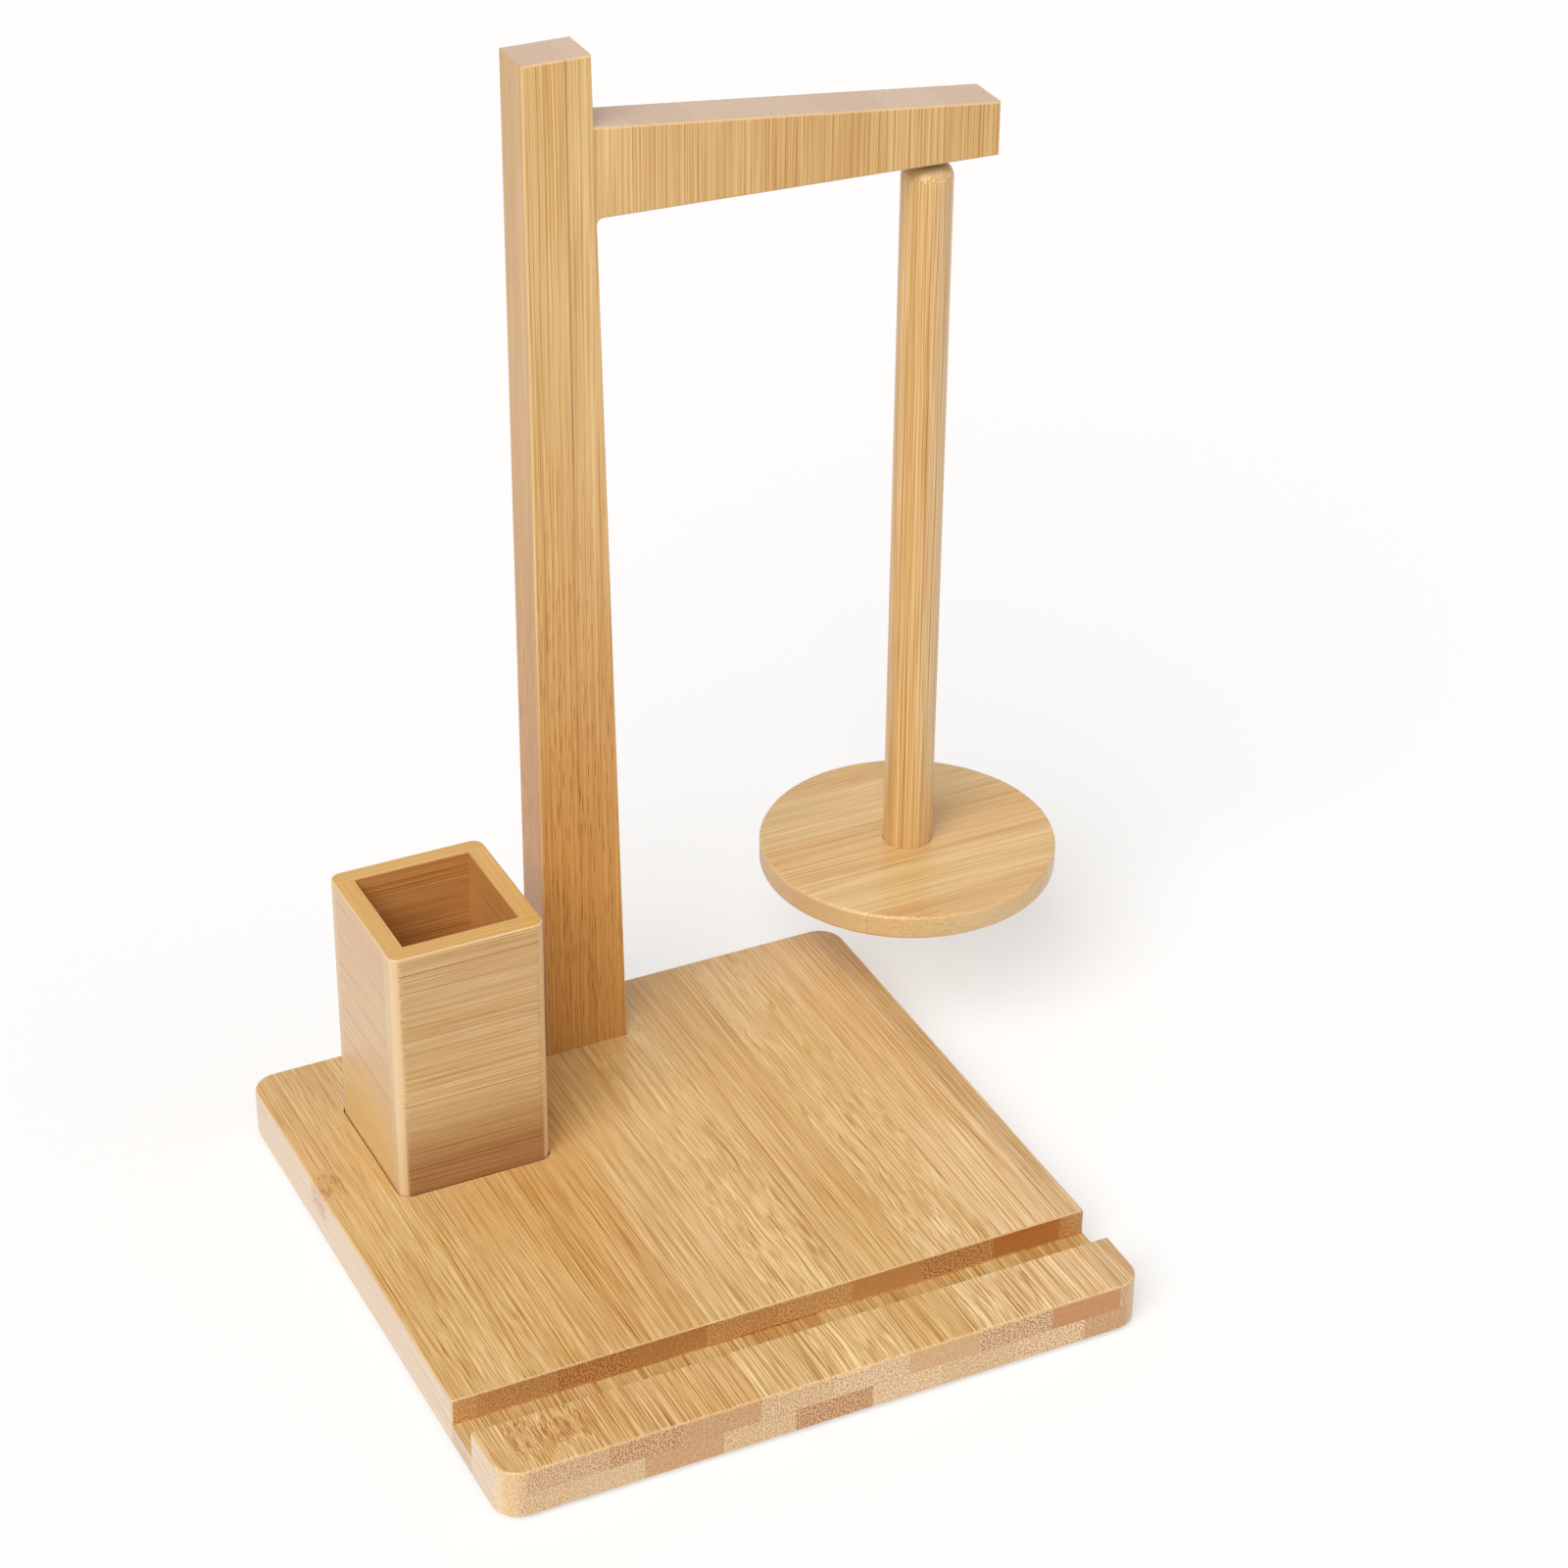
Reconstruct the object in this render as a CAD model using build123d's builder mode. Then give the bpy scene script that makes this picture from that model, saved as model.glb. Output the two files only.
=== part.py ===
from build123d import *
import os

# A bamboo stand in millimetres: a board carries a post with an arm, a spindle with a tray hangs
# and turns under the arm's tip, and a tool box stands in a recess. X runs along the front edge,
# Y to the rear and Z up. The origin is under the middle of the whole stand, on the table.

# Board
board_width = 198.0
board_depth = 200.0
board_thickness = 15.6
board_corner_radius = 8.0
board_edge_easing = 0.8

# Groove behind the board's front lip, open at both ends
lip_width = 21.7
groove_width = 13.6
groove_depth = 8.5
groove_edge_easing = 0.4

# Rubber pads under the board's corners
pad_radius = 7.0
pad_height = 1.5
pad_inset = 18.0
pad_edge_easing = 0.3

# Tool box, and the recess that it stands in
box_width = 47.5
box_depth = 50.0
box_height = 90.0
box_wall = 6.0
box_floor_thickness = 6.0
box_corner_radius = 3.5
box_rim_easing = 0.6
box_left_margin = 20.8
box_rear_margin = 25.0
recess_depth = 7.0
recess_clearance = 0.4

# Post and arm, cut in one piece from a panel, with the post's foot let into the board
panel_thickness = 15.6
panel_edge_easing = 0.8
post_gap = 18.7
post_rear_margin = 11.7
post_height = 321.0
post_foot_width = 27.0
post_head_width = 20.5
post_rise = 20.8
housing_depth = 5.0
housing_clearance = 0.1
arm_length = 125.5
arm_fall = 13.7
arm_root_depth = 26.9
arm_tip_depth = 16.3
arm_underside_fillet = 1.8
arm_top_fillet = 1.2

# Countersunk wood screws, with a cross recess in the head
post_screw_radius = 2.0
post_screw_head_radius = 4.0
post_screw_length = 35.0
post_screw_spacing = 13.0
tray_screw_radius = 1.75
tray_screw_head_radius = 3.5
tray_screw_length = 25.0
screw_point_length = 4.0
screw_rim = 0.3
screw_clearance = 0.05
screw_sink = 0.2
cross_width = 0.9
cross_length = 3.6
cross_depth = 1.5

# Pot magnet in the arm's underside
cup_radius = 6.0
cup_height = 6.0
cup_wall = 1.0
cup_recess = 0.3
cup_clearance = 0.1
magnet_clearance = 0.1
magnet_edge_easing = 0.2

# Pivot pin that hangs from the magnet, and the bush that turns on it
pivot_gap = 1.8
pivot_air_gap = 0.2
pin_radius = 1.45
pin_head_radius = 2.0
pin_dome_height = 0.6
pin_collar_radius = 2.3
pin_collar_height = 1.2
pin_end_play = 0.2
bush_radius = 3.0
bush_length = 12.0
bush_running_clearance = 0.05
bush_seat_clearance = 0.03
bore_end_space = 0.6

# Spindle rod and tray
spindle_tip_inset = 19.0
rod_radius = 7.7
rod_top_rounding = 4.5
tray_radius = 46.6
tray_thickness = 8.0
tray_lift = 33.0
tray_edge_easing = 1.2
tray_socket_depth = 3.0
tray_socket_clearance = 0.1

# How far a cut runs past the face that it opens
overrun = 1.0

# Heights above the table
board_underside = pad_height
board_top = board_underside + board_thickness
groove_floor = board_top - groove_depth
recess_floor = board_top - recess_depth
housing_floor = board_top - housing_depth
post_top = board_top + post_height
arm_root_top = post_top - post_rise
arm_root_underside = arm_root_top - arm_root_depth
arm_tip_top = arm_root_top - arm_fall
arm_tip_underside = arm_tip_top - arm_tip_depth


def post_width(height):
    """Width of the tapered post at a height above the table."""
    return post_foot_width + (post_head_width - post_foot_width) * (height - board_top) / post_height


# Places along the front edge, counted from the board's left end
post_inset = box_left_margin + box_width + post_gap
arm_tip_inset = post_inset + post_width(arm_root_top) + arm_length
spindle_inset = arm_tip_inset - spindle_tip_inset
overall_width = max(board_width, arm_tip_inset, spindle_inset + tray_radius)

# Places from the board's rear edge towards the front
spindle_rear_inset = post_rear_margin + panel_thickness / 2
overall_depth = board_depth + max(0, tray_radius - spindle_rear_inset)

# The same places measured from the origin
board_left = -overall_width / 2
board_front = -overall_depth / 2
board_rear = board_front + board_depth
board_x = board_left + board_width / 2
board_y = board_front + board_depth / 2
groove_y = board_front + lip_width + groove_width / 2
box_left = board_left + box_left_margin
box_right = box_left + box_width
box_rear = board_rear - box_rear_margin
box_front = box_rear - box_depth
box_x = box_left + box_width / 2
box_y = box_front + box_depth / 2
post_left = board_left + post_inset
post_x = post_left + post_foot_width / 2
panel_rear = board_rear - post_rear_margin
panel_y = panel_rear - panel_thickness / 2
arm_tip = board_left + arm_tip_inset
spindle_x = board_left + spindle_inset
spindle_y = panel_y

# Heights along the spindle, from the arm down
arm_underside_root = post_left + post_width(arm_root_underside)
underside_slope = (arm_tip_underside - arm_root_underside) / (arm_tip - arm_underside_root)
spindle_ceiling = arm_tip_underside - underside_slope * spindle_tip_inset
magnet_face = spindle_ceiling + cup_recess
rod_top = spindle_ceiling - pivot_gap
tray_underside = board_top + tray_lift
tray_top = tray_underside + tray_thickness
rod_foot = tray_top - tray_socket_depth
bush_foot = rod_top - bush_length
collar_top = bush_foot - pin_end_play
collar_foot = collar_top - pin_collar_height
bore_foot = collar_foot - bore_end_space
post_screw_head = board_underside + screw_sink
tray_screw_head = tray_underside + screw_sink

pieces = {}


def keep(name, builder):
    """Label a finished piece and remember it for writing."""
    builder.part.label = name
    pieces[name] = builder.part


def head_height(radius, head_radius):
    """Height of a countersunk head whose cone has a right angle."""
    return screw_rim + head_radius - radius


def wood_screw(radius, head_radius, length):
    """A countersunk screw that stands on its head at the origin, point up."""
    cone_top = head_height(radius, head_radius)
    with BuildPart() as screw:
        with BuildSketch(Plane.XZ):
            with BuildLine():
                Polyline(
                    (0, 0),
                    (head_radius, 0),
                    (head_radius, screw_rim),
                    (radius, cone_top),
                    (radius, length - screw_point_length),
                    (0, length),
                    close=True,
                )
            make_face()
        revolve(axis=Axis.Z)
        with BuildSketch(Plane.XY):
            Rectangle(cross_length, cross_width)
            Rectangle(cross_width, cross_length)
        extrude(amount=cross_depth, mode=Mode.SUBTRACT)
    return screw.part


def screw_hole(radius, head_radius, depth):
    """A countersunk hole, drilled upwards from the origin, that clears the screw all round."""
    hole_radius = radius + screw_clearance
    sink_radius = head_radius + screw_clearance
    cone_foot = screw_sink + screw_rim
    with BuildPart() as hole:
        with BuildSketch(Plane.XZ):
            with BuildLine():
                Polyline(
                    (0, -overrun),
                    (sink_radius, -overrun),
                    (sink_radius, cone_foot),
                    (hole_radius, cone_foot + sink_radius - hole_radius),
                    (hole_radius, depth),
                    (0, depth),
                    close=True,
                )
            make_face()
        revolve(axis=Axis.Z)
    return hole.part


post_screw = wood_screw(post_screw_radius, post_screw_head_radius, post_screw_length)
post_screw_hole = screw_hole(post_screw_radius, post_screw_head_radius, board_thickness + overrun)
tray_screw_body = wood_screw(tray_screw_radius, tray_screw_head_radius, tray_screw_length)
tray_screw_hole = screw_hole(tray_screw_radius, tray_screw_head_radius, tray_thickness + overrun)
post_screw_xs = [post_x - post_screw_spacing / 2, post_x + post_screw_spacing / 2]

# The board: a slab with eased edges, then the groove, the box's recess, the housing for the
# post's foot and the screw holes from below
with BuildPart() as base_board:
    with BuildSketch(Plane.XY.offset(board_underside)):
        with Locations((board_x, board_y)):
            RectangleRounded(board_width, board_depth, board_corner_radius)
    extrude(amount=board_thickness)
    fillet(base_board.faces().filter_by(Axis.Z).edges(), radius=board_edge_easing)
    with BuildSketch(Plane.XY.offset(groove_floor)):
        with Locations((board_x, groove_y)):
            Rectangle(board_width + 2 * overrun, groove_width)
    extrude(amount=groove_depth + overrun, mode=Mode.SUBTRACT)
    top_edges = base_board.edges().group_by(Axis.Z)[-1].filter_by(Axis.X)
    groove_edges = top_edges.filter_by(
        lambda edge: abs(edge.center().Y - groove_y) < groove_width / 2 + groove_edge_easing
    )
    chamfer(groove_edges, length=groove_edge_easing)
    with BuildSketch(Plane.XY.offset(recess_floor)):
        with Locations((box_x, box_y)):
            RectangleRounded(
                box_width + 2 * recess_clearance,
                box_depth + 2 * recess_clearance,
                box_corner_radius + recess_clearance,
            )
    extrude(amount=recess_depth + overrun, mode=Mode.SUBTRACT)
    with BuildSketch(Plane.XY.offset(housing_floor)):
        with Locations((post_x, panel_y)):
            Rectangle(
                post_foot_width + 2 * housing_clearance,
                panel_thickness + 2 * housing_clearance,
            )
    extrude(amount=housing_depth + overrun, mode=Mode.SUBTRACT)
    with Locations([(x, panel_y, board_underside) for x in post_screw_xs]):
        add(post_screw_hole, mode=Mode.SUBTRACT)
keep("base_board", base_board)

# Post and arm: one outline, sawn from the panel, with eased edges
arm_root_x = post_left + post_width(arm_root_top)
with BuildPart() as stand_bracket:
    with BuildSketch(Plane.XZ.offset(-panel_rear)) as outline:
        with BuildLine():
            Polyline(
                (post_left, housing_floor),
                (post_left + post_foot_width, housing_floor),
                (post_left + post_foot_width, board_top),
                (arm_underside_root, arm_root_underside),
                (arm_tip, arm_tip_underside),
                (arm_tip, arm_tip_top),
                (arm_root_x, arm_root_top),
                (post_left + post_head_width, post_top),
                (post_left, post_top),
                close=True,
            )
        make_face()
        corners = outline.vertices()
        underside_corner = corners.sort_by_distance((arm_underside_root, arm_root_underside))[0]
        top_corner = corners.sort_by_distance((arm_root_x, arm_root_top))[0]
        outer_corners = corners.group_by(Axis.X)[-1] + corners.group_by(Axis.Y)[-1]
        fillet(underside_corner, radius=arm_underside_fillet)
        fillet(top_corner, radius=arm_top_fillet)
        fillet(outer_corners, radius=panel_edge_easing)
    extrude(amount=panel_thickness)
    fillet(stand_bracket.faces().filter_by(Axis.Y).edges(), radius=panel_edge_easing)
    with BuildSketch(Plane.XY.offset(arm_tip_underside - overrun)):
        with Locations((spindle_x, spindle_y)):
            Circle(cup_radius + cup_clearance)
    extrude(amount=magnet_face + cup_height - arm_tip_underside + overrun, mode=Mode.SUBTRACT)
    with BuildSketch(Plane.XY.offset(housing_floor)):
        with Locations([(x, panel_y) for x in post_screw_xs]):
            Circle(post_screw_radius + screw_clearance)
    extrude(
        amount=post_screw_head + post_screw_length - housing_floor + screw_clearance,
        mode=Mode.SUBTRACT,
    )
keep("stand_bracket", stand_bracket)

# Screws that hold the post from under the board
with BuildPart() as post_screws:
    with Locations([(x, panel_y, post_screw_head) for x in post_screw_xs]):
        add(post_screw)
keep("post_screws", post_screws)

# Rubber pads
pad_places = {
    "foot_pad_front_left": (board_left + pad_inset, board_front + pad_inset),
    "foot_pad_front_right": (board_left + board_width - pad_inset, board_front + pad_inset),
    "foot_pad_rear_left": (board_left + pad_inset, board_rear - pad_inset),
    "foot_pad_rear_right": (board_left + board_width - pad_inset, board_rear - pad_inset),
}
for pad_name, pad_place in pad_places.items():
    with BuildPart() as foot_pad:
        with BuildSketch():
            with Locations(pad_place):
                Circle(pad_radius)
        extrude(amount=pad_height)
        fillet(foot_pad.edges().sort_by(Axis.Z)[0], radius=pad_edge_easing)
    keep(pad_name, foot_pad)

# Steel cup of the pot magnet, open downwards
with BuildPart() as magnet_cup:
    with BuildSketch(Plane.XY.offset(magnet_face)):
        with Locations((spindle_x, spindle_y)):
            Circle(cup_radius)
    extrude(amount=cup_height)
    with BuildSketch(Plane.XY.offset(magnet_face)):
        with Locations((spindle_x, spindle_y)):
            Circle(cup_radius - cup_wall)
    extrude(amount=cup_height - cup_wall, mode=Mode.SUBTRACT)
keep("magnet_cup", magnet_cup)

# Disc magnet, seated against the cup's base with its face level with the cup's rim
with BuildPart() as magnet_disc:
    with BuildSketch(Plane.XY.offset(magnet_face)):
        with Locations((spindle_x, spindle_y)):
            Circle(cup_radius - cup_wall - magnet_clearance)
    extrude(amount=cup_height - cup_wall)
    fillet(magnet_disc.edges().sort_by(Axis.Z)[0], radius=magnet_edge_easing)
keep("magnet_disc", magnet_disc)

# Pivot pin: a domed head under the magnet, a shank through the bush and a collar that holds it in
pin_head_foot = rod_top + pin_end_play
pin_tip = magnet_face - pivot_air_gap
with BuildPart() as pivot_pin:
    with BuildSketch(Plane.XZ):
        with BuildLine():
            Polyline(
                (0, pin_tip),
                (0, collar_foot),
                (pin_collar_radius, collar_foot),
                (pin_collar_radius, collar_top),
                (pin_radius, collar_top),
                (pin_radius, pin_head_foot),
                (pin_head_radius, pin_head_foot),
                (pin_head_radius, pin_tip - pin_dome_height),
            )
            TangentArc(
                (0, pin_tip),
                (pin_head_radius, pin_tip - pin_dome_height),
                tangent=(1, 0),
            )
        make_face()
    revolve(axis=Axis.Z)
    pivot_pin.part.position = (spindle_x, spindle_y, 0)
keep("pivot_pin", pivot_pin)

# Bush, pressed into the rod's bore
with BuildPart() as pivot_bush:
    with BuildSketch(Plane.XY.offset(bush_foot)):
        with Locations((spindle_x, spindle_y)):
            Circle(bush_radius)
            Circle(pin_radius + bush_running_clearance, mode=Mode.SUBTRACT)
    extrude(amount=bush_length)
keep("pivot_bush", pivot_bush)

# Spindle rod: rounded top, bored for the bush and the pin's collar, drilled for the tray's screw
with BuildPart() as spindle_rod:
    with BuildSketch(Plane.XY.offset(rod_foot)):
        with Locations((spindle_x, spindle_y)):
            Circle(rod_radius)
    extrude(amount=rod_top - rod_foot)
    fillet(spindle_rod.edges().sort_by(Axis.Z)[-1], radius=rod_top_rounding)
    with BuildSketch(Plane.XY.offset(bore_foot)):
        with Locations((spindle_x, spindle_y)):
            Circle(bush_radius + bush_seat_clearance)
    extrude(amount=rod_top - bore_foot + overrun, mode=Mode.SUBTRACT)
    with BuildSketch(Plane.XY.offset(rod_foot)):
        with Locations((spindle_x, spindle_y)):
            Circle(tray_screw_radius + screw_clearance)
    extrude(
        amount=tray_screw_head + tray_screw_length - rod_foot + screw_clearance,
        mode=Mode.SUBTRACT,
    )
keep("spindle_rod", spindle_rod)

# Tray: a disc with eased rims, a socket for the rod and a countersunk hole below it
with BuildPart() as tray_disc:
    with BuildSketch(Plane.XY.offset(tray_underside)):
        with Locations((spindle_x, spindle_y)):
            Circle(tray_radius)
    extrude(amount=tray_thickness)
    fillet(tray_disc.edges().filter_by(GeomType.CIRCLE), radius=tray_edge_easing)
    with BuildSketch(Plane.XY.offset(rod_foot)):
        with Locations((spindle_x, spindle_y)):
            Circle(rod_radius + tray_socket_clearance)
    extrude(amount=tray_socket_depth + overrun, mode=Mode.SUBTRACT)
    with Locations((spindle_x, spindle_y, tray_underside)):
        add(tray_screw_hole, mode=Mode.SUBTRACT)
keep("tray_disc", tray_disc)

with BuildPart() as tray_screw:
    with Locations((spindle_x, spindle_y, tray_screw_head)):
        add(tray_screw_body)
keep("tray_screw", tray_screw)


def long_wall(near_y, outer_group):
    """Front or rear wall of the box: full width, outer corners rounded, outer rim eased."""
    with BuildPart() as wall:
        with BuildSketch(Plane.XY.offset(recess_floor)):
            with Locations((box_x, near_y + box_wall / 2)):
                Rectangle(box_width, box_wall)
        extrude(amount=box_height)
        fillet(wall.edges().filter_by(Axis.Z).group_by(Axis.Y)[outer_group], radius=box_corner_radius)
        rim = wall.faces().sort_by(Axis.Z)[-1].edges().sort_by(Axis.Y, reverse=outer_group != 0)
        fillet(rim[:-1], radius=box_rim_easing)
    return wall


def side_wall(near_x, outer_group):
    """Left or right wall of the box, which butts between the long walls."""
    with BuildPart() as wall:
        with BuildSketch(Plane.XY.offset(recess_floor)):
            with Locations((near_x + box_wall / 2, box_y)):
                Rectangle(box_wall, box_depth - 2 * box_wall)
        extrude(amount=box_height)
        rim = wall.faces().sort_by(Axis.Z)[-1].edges().filter_by(Axis.Y)
        fillet(rim.sort_by(Axis.X)[outer_group], radius=box_rim_easing)
    return wall


keep("box_front_wall", long_wall(box_front, 0))
keep("box_rear_wall", long_wall(box_rear - box_wall, -1))
keep("box_left_wall", side_wall(box_left, 0))
keep("box_right_wall", side_wall(box_right - box_wall, -1))

with BuildPart() as box_floor:
    with BuildSketch(Plane.XY.offset(recess_floor)):
        with Locations((box_x, box_y)):
            Rectangle(box_width - 2 * box_wall, box_depth - 2 * box_wall)
    extrude(amount=box_floor_thickness)
keep("box_floor", box_floor)

os.makedirs("parts", exist_ok=True)
for piece_name, piece in pieces.items():
    export_step(piece, f"parts/{piece_name}.step")
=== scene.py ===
"""Looks for the bamboo holder: camera, floor, light and the finish of every piece."""

import math
from collections import namedtuple

import bmesh
import bpy
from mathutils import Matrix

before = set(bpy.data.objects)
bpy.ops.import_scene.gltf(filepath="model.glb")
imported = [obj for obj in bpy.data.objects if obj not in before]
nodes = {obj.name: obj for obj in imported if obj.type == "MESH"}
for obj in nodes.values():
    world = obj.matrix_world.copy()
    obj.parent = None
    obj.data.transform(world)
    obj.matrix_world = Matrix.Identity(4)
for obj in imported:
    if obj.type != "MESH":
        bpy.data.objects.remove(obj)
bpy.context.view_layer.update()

scene = bpy.context.scene
scene.view_settings.view_transform = "Standard"

MM_PER_M = 1000.0


def linear(tone, alpha=1.0):
    """An sRGB hex value as the linear colour that sockets take."""
    shares = [int(tone[i : i + 2], 16) / 255 for i in (1, 3, 5)]
    return (*[s / 12.92 if s <= 0.04045 else ((s + 0.055) / 1.055) ** 2.4 for s in shares], alpha)


def add_node(tree, kind, settings=None, inputs=None):
    """Add a node. Inputs that are given a socket are linked to it, and the others are set."""
    node = tree.nodes.new(kind)
    for name, value in (settings or {}).items():
        setattr(node, name, value)
    for name, value in (inputs or {}).items():
        if isinstance(value, bpy.types.NodeSocket):
            tree.links.new(value, node.inputs[name])
        else:
            node.inputs[name].default_value = value
    return node


def new_finish(name):
    """An empty material and its tree, cleared of every node."""
    finish = bpy.data.materials.new(name)
    finish.use_nodes = True
    finish.node_tree.nodes.clear()
    return finish, finish.node_tree


def fill_stops(ramp, places, colours, blend="CONSTANT"):
    """Give a colour ramp its colours, each at its place, in rising order."""
    ramp.interpolation = blend
    ramp.elements.remove(ramp.elements[1])
    ramp.elements[0].position = places[0]
    ramp.elements[0].color = colours[0]
    for place, colour in zip(places[1:], colours[1:]):
        ramp.elements.new(place).color = colour


# Camera: a 92 mm lens, 32 degrees above the table and 26 degrees round from the front
eye = bpy.data.objects.new("camera", bpy.data.cameras.new("camera"))
scene.collection.objects.link(eye)
eye.location = (-0.42135, -0.86607, 0.73246)
eye.rotation_euler = (math.radians(58.266), math.radians(-0.539), math.radians(-25.998))
eye.data.lens = 91.593
eye.data.sensor_width = 36
scene.camera = eye

# Light: a white room whose bounced light is a little warm, one broad soft lamp from the front left
# and a weaker one from the right. The room is dimmer than the white that a camera or a mirror sees.
ROOM_STRENGTH = 0.42
room = bpy.data.worlds.new("white_room")
room.use_nodes = True
room.node_tree.nodes.clear()
scene.world = room
ray = add_node(room.node_tree, "ShaderNodeLightPath")
seen_or_mirrored = add_node(
    room.node_tree,
    "ShaderNodeMath",
    {"operation": "MAXIMUM"},
    {0: ray.outputs["Is Camera Ray"], 1: ray.outputs["Is Glossy Ray"]},
)
plain_white = add_node(
    room.node_tree,
    "ShaderNodeMath",
    {"operation": "MAXIMUM"},
    {0: seen_or_mirrored.outputs[0], 1: ray.outputs["Is Transmission Ray"]},
)
strength = add_node(
    room.node_tree,
    "ShaderNodeMapRange",
    inputs={"Value": plain_white.outputs[0], "To Min": ROOM_STRENGTH, "To Max": 1.0},
)
wall_tone = add_node(
    room.node_tree,
    "ShaderNodeMix",
    {"data_type": "RGBA"},
    {"Factor": plain_white.outputs[0], "A": linear("#FFF0E1"), "B": linear("#FFFFFF")},
)
glow = add_node(
    room.node_tree,
    "ShaderNodeBackground",
    inputs={"Color": wall_tone.outputs["Result"], "Strength": strength.outputs["Result"]},
)
add_node(room.node_tree, "ShaderNodeOutputWorld", inputs={"Surface": glow.outputs[0]})

for lamp_name, power, spread, rise, turn in (
    ("broad_lamp", 2.5, 42, 46, -50),
    ("weak_lamp", 0.35, 60, 35, 50),
):
    lamp = bpy.data.objects.new(lamp_name, bpy.data.lights.new(lamp_name, "SUN"))
    scene.collection.objects.link(lamp)
    lamp.data.energy = power
    lamp.data.angle = math.radians(spread)
    lamp.rotation_euler = (math.radians(90 - rise), 0, math.radians(turn))

# Floor: matt white card, half of it shown as plain white, so that it keeps a soft shadow
PLAIN_SHARE = 0.5
floor_mesh = bpy.data.meshes.new("floor")
sheet = bmesh.new()
bmesh.ops.create_grid(sheet, x_segments=1, y_segments=1, size=6.0)
sheet.to_mesh(floor_mesh)
sheet.free()
floor = bpy.data.objects.new("floor", floor_mesh)
scene.collection.objects.link(floor)
card, tree = new_finish("matt_white_card")
ray = add_node(tree, "ShaderNodeLightPath")
seen = add_node(
    tree,
    "ShaderNodeMath",
    {"operation": "MULTIPLY"},
    {0: ray.outputs["Is Camera Ray"], 1: PLAIN_SHARE},
)
matt = add_node(tree, "ShaderNodeBsdfDiffuse", inputs={"Color": linear("#F9FCFF")})
glow = add_node(tree, "ShaderNodeEmission", inputs={"Color": linear("#FFFFFF"), "Strength": 1.0})
both = add_node(
    tree,
    "ShaderNodeMixShader",
    inputs={0: seen.outputs[0], 1: matt.outputs[0], 2: glow.outputs[0]},
)
add_node(tree, "ShaderNodeOutputMaterial", inputs={"Surface": both.outputs[0]})
floor_mesh.materials.append(card)

# Natural bamboo along its fibres, and the same strips sawn across
GOLD, HONEY, AMBER = "#D4B178", "#CFA66B", "#C69A5F"
END_LIGHT, END_PALE, END_SAND = "#D5BA91", "#D0B287", "#C9A97F"
END_WARM, END_TAN, END_PLAIN = "#C59F70", "#C0986A", "#B7814D"

# Tones that the marks multiply into the tone under them
MARK_TONE, KNUCKLE_TONE, GLUE_TONE, DEEP_DASH_TONE = "#B66A2E", "#EACDA4", "#A0702F", "#DB9C52"

# Places in mm off every piece, where a missing knuckle lies and a missing second layer starts
NO_KNUCKLE = 400
NO_SPLIT = 900

# The middle of the tool box in m, from which its inner faces are told
BOX_MIDDLE = (-0.086, 0.0365, 0.06)

# Cells of each pattern per mm: across the strips, through them and along the fibres
DRIFT_CELLS = (0.06, 0.06, 0.012)
WAVE_CELLS = (0.08, 0.08, 0.04)
CROWD_CELLS = (0.16, 0.16, 0.004)
DASH_CELLS = (2.3, 2.3, 0.08)
SQUIGGLE_CELLS = (1.2, 1.2, 0.18)
STREAK_CELLS = (0.5, 0.5, 0.008)

# The same, for patterns whose cells are as wide through the strips as across them
WANDER_SCALE = 0.2
LINE_SCALE = 1.5
DOT_SCALE = 1.1
HAIR_SCALE = 3.0

# Where a mark is full and where it ends: in cells from its middle, or in mm for glue and seam
LINE_EDGE = (0.08, 0.3)
DASH_EDGE = (0.14, 0.36)
SQUIGGLE_EDGE = (0.12, 0.42)
DOT_EDGE = (0.16, 0.42)
GLUE_EDGE = (0.06, 0.22)
SEAM_EDGE = (0.08, 0.24)

# How dark the squiggles, the dots and the open joint are
SQUIGGLE_SHARE = 0.72
DOT_SHARE = 0.95
SEAM_SHARE = 0.85

# The long lines' noise where they thin out and where they crowd, and how dark they are there
CROWD_EDGE = (0.42, 0.6)
CROWD_SHARE = (0.3, 1.0)

# How far the fibres are pushed aside at most, in mm
DRIFT_PUSH = (1.0, 1.0, 0.0)
WAVE_PUSH = (1.8, 1.8, 0.0)
SWIRL_PUSH = (0.9, 0.9, 0.0)

# A knuckle in mm: its half length, that of its full middle, and how far it strays along the fibres
KNUCKLE_REACH, KNUCKLE_CORE, KNUCKLE_RAGS = 9.0, 2.0, 8.0

# Its place travels in a colour channel, as mm / KNUCKLE_SPAN + KNUCKLE_MIDDLE
KNUCKLE_SPAN = 1000
KNUCKLE_MIDDLE = 0.5

# How much streaks and fibres change red, green and blue: blue most, so that dark ones are browner.
# Where a pattern is NEUTRAL it leaves the tone as it is. The palest fibres are held back at
# HAIR_TOP, with a soft bend HAIR_EASE wide, since they would turn cream white.
STREAK_DEPTH = (0.4, 0.64, 1.04)
HAIR_DEPTH = (2.9, 4.7, 8.8)
NEUTRAL = 0.488
HAIR_TOP, HAIR_EASE = 0.62, 0.1

# How squarely a face looks along the fibres to count as a cut end, across the strips to count as a
# sawn side, and along its nearest axis to count as a rounded edge: where that begins and where it
# is full
CUT_FACING = (0.5, 0.85)
FLANK_FACING = (0.6, 0.95)
EASED_FACING = (0.995, 0.88)

# How much of the fibres and glue lines is left on a cut end, and of the glue lines on a sawn side
END_CLEARNESS = 0.25
FLANK_GLUE = 0.3

# How much of cut_tone the cut ends take
CUT_SHARE = 0.8

# At the darker end's full tone, how strong dashes and long lines are against what the strips say
DEEP_DASHES, DEEP_LINES = 2.4, 0.6

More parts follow.
